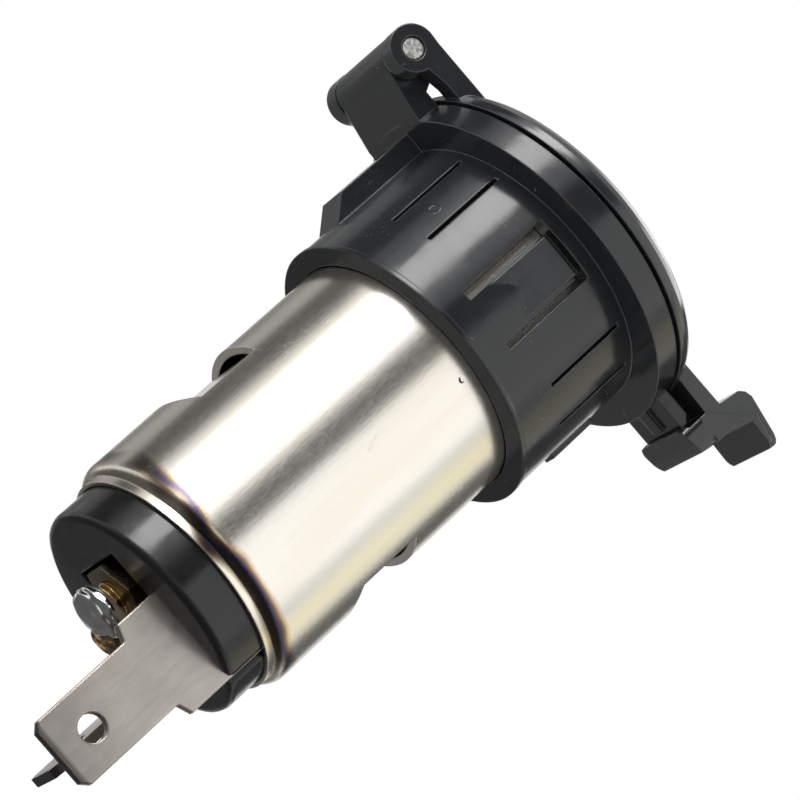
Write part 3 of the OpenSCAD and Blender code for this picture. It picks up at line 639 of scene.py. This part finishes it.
def thread_tree(material, values):
    """A node tree that winds a ridge round the Z axis; values gives its inputs' defaults."""
    tree = bpy.data.node_groups.new("Thread ridge", "GeometryNodeTree")
    for label, default in values.items():
        socket = tree.interface.new_socket(label, in_out="INPUT", socket_type="NodeSocketFloat")
        socket.default_value = default
    tree.interface.new_socket("Geometry", in_out="OUTPUT", socket_type="NodeSocketGeometry")
    start = tree.nodes.new("NodeGroupInput")
    end = tree.nodes.new("NodeGroupOutput")
    turns = math_node(tree, "DIVIDE", start.outputs["Length"], start.outputs["Pitch"])
    spiral = add(tree, "GeometryNodeCurveSpiral",
                 {"Resolution": 40, "Rotations": turns, "Start Radius": start.outputs["Radius"],
                  "End Radius": start.outputs["Radius"], "Height": start.outputs["Length"]})
    profile = add(tree, "GeometryNodeCurvePrimitiveCircle",
                  {"Resolution": 6, "Radius": start.outputs["Depth"]})
    sweep = add(tree, "GeometryNodeCurveToMesh",
                {"Curve": spiral.outputs[0], "Profile Curve": profile.outputs[0],
                 "Fill Caps": True})
    real = add(tree, "GeometryNodeRealizeInstances", {"Geometry": sweep.outputs[0]})
    done = add(tree, "GeometryNodeSetMaterial",
               {"Geometry": real.outputs[0], "Material": material})
    tree.links.new(done.outputs[0], end.inputs["Geometry"])
    return tree


def baked_mesh(obj):
    """The evaluated mesh of an object, with its modifiers removed from it."""
    seen = obj.evaluated_get(bpy.context.evaluated_depsgraph_get())
    mesh = bpy.data.meshes.new_from_object(seen)
    obj.modifiers.clear()
    bpy.data.objects.remove(obj)
    return mesh


def smooth(mesh, angle=0.7):
    """Smooth shading with sharp edges past an angle."""
    mesh.shade_smooth()
    mesh.set_sharp_from_angle(angle=angle)


class SOCKET_OT_stud_thread(bpy.types.Operator):
    """Wind the thread on the stud's bare stretches"""

    bl_idname = "socket.stud_thread"
    bl_label = "Stud Thread"

    def execute(self, context):
        sizes = context.scene.socket_sizes
        low, high = (Vector(corner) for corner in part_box("nut"))
        foot_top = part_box("positive_terminal")[1][2]
        centre = (low + high) / 2
        host = bpy.data.objects.new("thread_host", bpy.data.meshes.new("thread_host"))
        context.scene.collection.objects.link(host)
        modifier = host.modifiers.new("Thread", "NODES")
        values = {"Radius": STUD_RADIUS, "Pitch": sizes.thread_pitch, "Depth": sizes.thread_depth,
                  "Length": low[2] - foot_top - 2 * THREAD_GAP}
        tree = thread_tree(FINISHES["brass"], values)
        modifier.node_group = tree
        for item in tree.interface.items_tree:
            if item.in_out == "INPUT":
                modifier[item.identifier] = values[item.name]
        context.view_layer.update()
        mesh = baked_mesh(host)
        mesh.transform(Matrix.Translation((centre[0], centre[1], foot_top + THREAD_GAP)))
        smooth(mesh)
        link_piece("stud_thread", mesh, "brass", "socket")
        return {"FINISHED"}


# The solder bead and the flux beside it

# How far the bead spreads past the solder's solid
SOLDER_SPREAD = 0.6 * MM
# How far the bead and the flux rise round the blade's foot
FOOT_RISE = 0.75 * MM
# The flux's place from the stud (x, y) and its radius, in radii of the solder's solid
FLUX_SIDE = (0.72, -1.05)
FLUX_SHARE = 0.95
# How far the flux hangs below the foot
FLUX_DROP = 1.0 * MM
# How much lumpier the flux is than the solder
FLUX_LUMP = 1.4


def bead_mesh(name, centre, radius, up, down, lump, seed):
    """A lumpy closed bead round a point, of a radius and a reach up and down."""
    bm = bmesh.new()
    bmesh.ops.create_icosphere(bm, subdivisions=5, radius=1.0)
    for v in bm.verts:
        d = v.co.copy()
        wobble = noise.fractal(d * 1.3 + Vector(seed), 0.8, 2.0, 2)
        dent = noise.noise(d * 2.2 + Vector(seed))
        push = 1.0 + (wobble + 0.5 * dent) * lump / radius
        side = math.sqrt(d.x * d.x + d.y * d.y)
        fuller = side ** 0.6 / max(side, 1e-6)
        v.co = Vector((d.x * fuller * radius * push, d.y * fuller * radius * push,
                       d.z * (up if d.z > 0 else down) * (1.0 + 0.3 * wobble)))
        v.co += Vector(centre)
    mesh = bpy.data.meshes.new(name)
    bm.to_mesh(mesh)
    bm.free()
    smooth(mesh, 1.2)
    return mesh


class SOCKET_OT_solder(bpy.types.Operator):
    """Shape the lumpy solder over the stud's end, and the flux beside it"""

    bl_idname = "socket.solder"
    bl_label = "Solder"

    def execute(self, context):
        lump = context.scene.socket_sizes.solder_lump
        low, high = (Vector(corner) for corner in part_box("solder_joint"))
        middle = (low + high) / 2
        foot_low = high[2]
        reach = (high[0] - low[0]) / 2
        bead = bead_mesh("solder_bead", (middle[0], middle[1], foot_low), reach + SOLDER_SPREAD,
                         FOOT_RISE, foot_low - low[2], lump, seed=(3.1, 0.4, 1.9))
        piece = link_piece("solder_bead", bead, "solder", "socket")
        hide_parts("solder_joint")
        flux_at = (middle[0] + FLUX_SIDE[0] * reach, middle[1] + FLUX_SIDE[1] * reach, foot_low)
        flux = bead_mesh("flux", flux_at, FLUX_SHARE * reach, FOOT_RISE, FLUX_DROP,
                         FLUX_LUMP * lump, seed=(7.7, 2.0, 5.1))
        link_piece("flux", flux, "flux", "socket")
        return {"FINISHED"}


class SOCKET_OT_finishes(bpy.types.Operator):
    """Build every finish and paint the frame's pieces"""

    bl_idname = "socket.finishes"
    bl_label = "Finishes"

    def execute(self, context):
        build_effects()
        build_finishes(context.scene.socket_finish)
        for node, finish in NODE_FINISH.items():
            paint(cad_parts[node], finish)
        return {"FINISHED"}


# The studio

FLOOR_Z = -60.5 * MM
FLOOR_HALF = 3.0
# Where the floor starts and ends its fade to white, from the frame's origin
FADE_START = 0.16
FADE_END = 0.42
# The camera, fitted to the photograph: its lens, its place, and its three directions
LENS = 177.75
CAMERA_AT = Vector((-290.755, 19.772, -150.807)) * MM
CAMERA_RIGHT = Vector((-0.35972, -0.64904, 0.67034))
CAMERA_UP = Vector((-0.22988, 0.75793, 0.61049))
CAMERA_BACK = Vector((-0.90430, 0.06551, -0.42184))
# The point that the lamps and the cards face
STAGE_CENTRE = Vector((0.0, 0.0, -25.0)) * MM
CARD_DISTANCE = 0.4
CARD_HEIGHT = 0.44
# Azimuth, half angle and level of each upright grey card
GREY_CARDS = ((25, 11, 0.28), (49, 11, 0.5), (76.5, 15, 0.1), (172.6, 11.2, 0.1),
              (312, 15.5, 0.13))
# Under the socket, a grey card darkens what its rear faces reflect
UNDER_CARD_DROP = 36.5 * MM


def stand(azimuth, elevation, distance):
    """A point round the socket; azimuth is from +X in degrees."""
    a, e = math.radians(azimuth), math.radians(elevation)
    return STAGE_CENTRE + distance * Vector(
        (math.cos(a) * math.cos(e), math.sin(a) * math.cos(e), math.sin(e)))


def facing_matrix(at):
    """A matrix at a point, whose -Z looks at the socket's middle."""
    turn = (STAGE_CENTRE - at).to_track_quat("-Z", "Y")
    return Matrix.Translation(at) @ turn.to_matrix().to_4x4()


def flat_mesh(name, width, height):
    """A rectangle round the origin, in the XY plane."""
    w, h = width / 2, height / 2
    mesh = bpy.data.meshes.new(name)
    mesh.from_pydata([(-w, -h, 0), (w, -h, 0), (w, h, 0), (-w, h, 0)], [], [(0, 1, 2, 3)])
    return mesh


def softbox(name, azimuth, elevation, distance, width, height, radiance, colour=(1.0, 1.0, 1.0)):
    """A rectangular area lamp that the camera doesn't see."""
    lamp = bpy.data.lights.new(name, "AREA")
    lamp.shape = "RECTANGLE"
    lamp.size, lamp.size_y = width, height
    lamp.energy = radiance * math.pi * width * height
    lamp.color = colour
    obj = bpy.data.objects.new(name, lamp)
    obj.matrix_world = facing_matrix(stand(azimuth, elevation, distance))
    obj.visible_camera = False
    bpy.context.scene.collection.objects.link(obj)


def card(name, azimuth, elevation, distance, width, height, colour):
    """A card of one colour that only reflections see."""
    mesh = flat_mesh(name, width, height)
    mesh.transform(facing_matrix(stand(azimuth, elevation, distance)))
    obj = bpy.data.objects.new(name, mesh)
    bpy.context.scene.collection.objects.link(obj)
    material = bpy.data.materials.new(name)
    material.use_nodes = True
    tree = material.node_tree
    tree.nodes.remove(tree.nodes["Principled BSDF"])
    glow = add(tree, "ShaderNodeEmission", {"Color": (*colour, 1.0)})
    tree.links.new(glow.outputs[0], tree.nodes["Material Output"].inputs["Surface"])
    mesh.materials.append(material)
    obj.visible_camera = False
    obj.visible_diffuse = False
    obj.visible_shadow = False


def floor_finish():
    """Pale floor that fades to the room's white far out, and that nothing sees from below."""
    material, tree, shader = new_finish("Pale floor", Roughness=0.9)
    shader.inputs["Base Color"].default_value = (0.86, 0.86, 0.86, 1.0)
    geometry = add(tree, "ShaderNodeNewGeometry")
    away = add(tree, "ShaderNodeVectorMath", {0: geometry.outputs["Position"]},
               operation="LENGTH").outputs["Value"]
    far = remap(tree, away, FADE_START, FADE_END)
    white = add(tree, "ShaderNodeEmission", {"Color": (1.0, 1.0, 1.0, 1.0)})
    camera = add(tree, "ShaderNodeLightPath").outputs["Is Camera Ray"]
    faded = add(tree, "ShaderNodeMixShader",
                {0: math_node(tree, "MULTIPLY", far, camera), 1: shader.outputs[0],
                 2: white.outputs[0]})
    clear = add(tree, "ShaderNodeBsdfTransparent")
    both = add(tree, "ShaderNodeMixShader",
               {0: geometry.outputs["Backfacing"], 1: faded.outputs[0], 2: clear.outputs[0]})
    tree.links.new(both.outputs[0], tree.nodes["Material Output"].inputs["Surface"])
    return material


def build_world(ambient):
    """White where the camera, gloss or glass sees it, and a softer level on matt surfaces."""
    world = bpy.data.worlds.new("Studio room")
    world.use_nodes = True
    tree = world.node_tree
    path = add(tree, "ShaderNodeLightPath")
    seen = math_node(tree, "MAXIMUM", path.outputs["Is Camera Ray"], path.outputs["Is Glossy Ray"])
    seen = math_node(tree, "MAXIMUM", seen, path.outputs["Is Transmission Ray"])
    level = add(tree, "ShaderNodeMix", {0: seen, 2: ambient, 3: 1.0}, data_type="FLOAT")
    background = tree.nodes["Background"]
    background.inputs["Color"].default_value = (1.0, 1.0, 1.0, 1.0)
    tree.links.new(level.outputs[0], background.inputs["Strength"])
    bpy.context.scene.world = world


class SOCKET_OT_studio(bpy.types.Operator):
    """Set up the floor, the light, the cards and the camera"""

    bl_idname = "socket.studio"
    bl_label = "Studio"

    def execute(self, context):
        studio = context.scene.socket_studio
        scene = context.scene
        build_world(studio.ambient)
        mesh = flat_mesh("floor", 2 * FLOOR_HALF, 2 * FLOOR_HALF)
        mesh.transform(Matrix.Translation((0.0, 0.0, FLOOR_Z)))
        mesh.materials.append(floor_finish())
        floor = bpy.data.objects.new("floor", mesh)
        scene.collection.objects.link(floor)
        floor.visible_glossy = False

        softbox("key", azimuth=128, elevation=26, distance=0.5, width=0.19, height=0.5,
                radiance=studio.key)
        softbox("key_surround", azimuth=129, elevation=26, distance=0.53, width=0.44,
                height=0.56, radiance=0.075 * studio.key)
        softbox("fill", azimuth=217, elevation=26, distance=0.6, width=0.74, height=0.6,
                radiance=studio.fill, colour=(1.0, 0.99, 0.975))
        softbox("top", azimuth=-58, elevation=62, distance=0.6, width=0.42, height=0.4,
                radiance=0.32 * studio.key)
        for azimuth, half_angle, level in GREY_CARDS:
            card("grey_card_%d" % azimuth, azimuth, 25, CARD_DISTANCE,
                 2 * CARD_DISTANCE * math.tan(math.radians(half_angle)), CARD_HEIGHT,
                 (level,) * 3)
        card("warm_card", azimuth=277, elevation=26, distance=CARD_DISTANCE, width=0.15,
             height=CARD_HEIGHT, colour=(1.32, 1.26, 0.98))
        card("grey_card_low", azimuth=-4, elevation=-26, distance=0.35, width=0.5, height=0.34,
             colour=(0.3,) * 3)
        card("grey_card_floor", azimuth=0, elevation=-90, distance=UNDER_CARD_DROP, width=0.13,
             height=0.13, colour=(0.12,) * 3)

        camera = bpy.data.cameras.new("camera")
        camera.lens = LENS
        camera.clip_start, camera.clip_end = 0.01, 20.0
        obj = bpy.data.objects.new("camera", camera)
        turn = Matrix((CAMERA_RIGHT, CAMERA_UP, CAMERA_BACK)).transposed().to_4x4()
        obj.matrix_world = Matrix.Translation(CAMERA_AT) @ turn
        scene.collection.objects.link(obj)
        scene.camera = obj
        scene.view_settings.view_transform = "Standard"
        return {"FINISHED"}


class SOCKET_PT_panel(bpy.types.Panel):
    """The socket's sizes, colours and steps"""

    bl_label = "Power Socket"
    bl_idname = "SOCKET_PT_panel"
    bl_space_type = "VIEW_3D"
    bl_region_type = "UI"
    bl_category = "Power Socket"

    def draw(self, context):
        for group in (context.scene.socket_finish, context.scene.socket_sizes,
                      context.scene.socket_studio):
            box = self.layout.box()
            for key in group.__annotations__:
                box.prop(group, key)
        for operator in OPERATORS:
            self.layout.operator(operator.bl_idname)


GROUPS = {"socket_finish": SocketFinish, "socket_sizes": SocketSizes,
          "socket_studio": SocketStudio}
OPERATORS = (SOCKET_OT_finishes, SOCKET_OT_stud_thread, SOCKET_OT_solder, SOCKET_OT_studio)


def register():
    """Registers the classes and the scene's property groups."""
    for name, group in GROUPS.items():
        bpy.utils.register_class(group)
        setattr(bpy.types.Scene, name, bpy.props.PointerProperty(type=group))
    for operator in OPERATORS:
        bpy.utils.register_class(operator)
    bpy.utils.register_class(SOCKET_PT_panel)


def unregister():
    """Takes the classes and the property groups out again."""
    bpy.utils.unregister_class(SOCKET_PT_panel)
    for operator in reversed(OPERATORS):
        bpy.utils.unregister_class(operator)
    for name, group in GROUPS.items():
        delattr(bpy.types.Scene, name)
        bpy.utils.unregister_class(group)


def main():
    """Builds the whole scene."""
    register()
    bpy.ops.socket.finishes()
    bpy.ops.socket.stud_thread()
    bpy.ops.socket.solder()
    bpy.ops.socket.studio()


if __name__ == "__main__":
    main()
